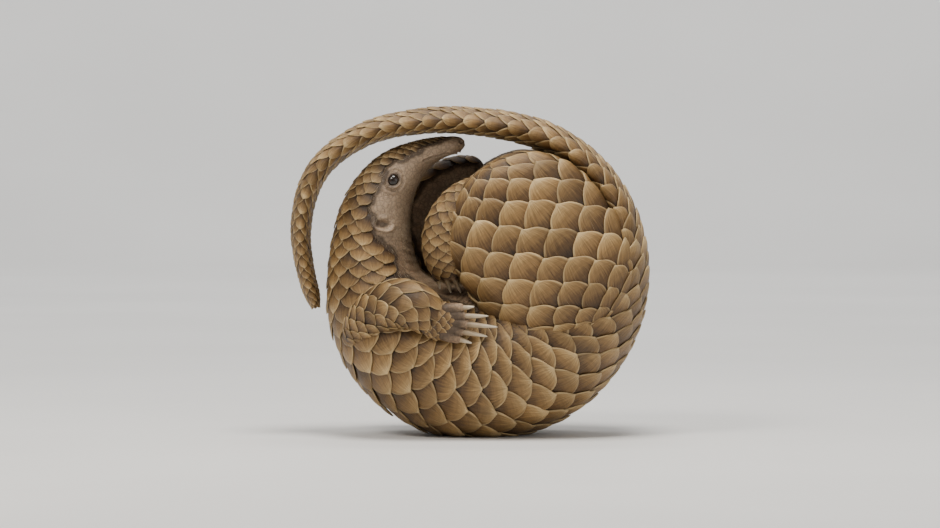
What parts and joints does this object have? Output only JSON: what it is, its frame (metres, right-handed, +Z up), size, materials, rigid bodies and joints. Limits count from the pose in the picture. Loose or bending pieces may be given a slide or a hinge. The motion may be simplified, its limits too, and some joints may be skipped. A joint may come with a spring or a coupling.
{
  "type": "curled young Sunda pangolin model",
  "caption": "Life-size still model of a young pangolin rolled into a ball, with its snout tucked under its tail, folded legs and overlapping scales all over its back and tail.",
  "frame": {"origin": "centre of the bottom of the model's box, on the floor that the rolled-up animal lies on", "axes": "+Z up; +X to the animal's rump side and -X to its nape, as seen from its right side; +Y to the animal's left"},
  "size_m": [0.164, 0.1034, 0.1497],
  "materials": {
    "scales": "horn scales, tan to brown with lighter worn edges, half matt",
    "skin": "bare greyish skin with sparse pale hair, and pale horn claws on the feet",
    "eye": "wet black"
  },
  "bodies": {
    "root": {"head": "scales", "neck": "scales", "torso_shoulders": "scales", "torso_back": "scales", "torso_rump": "scales", "tail_1": "scales", "tail_2": "scales", "tail_3": "scales", "tail_4": "scales", "tail_5": "scales", "hindleg_right": "scales", "hindleg_left": "scales", "foreleg_right": "scales", "foreleg_left": "scales", "hindfoot_right": "skin", "hindfoot_left": "skin", "ear_right": "skin", "ear_left": "skin", "eye_right": "eye", "eye_left": "eye"}
  },
  "joints": []
}
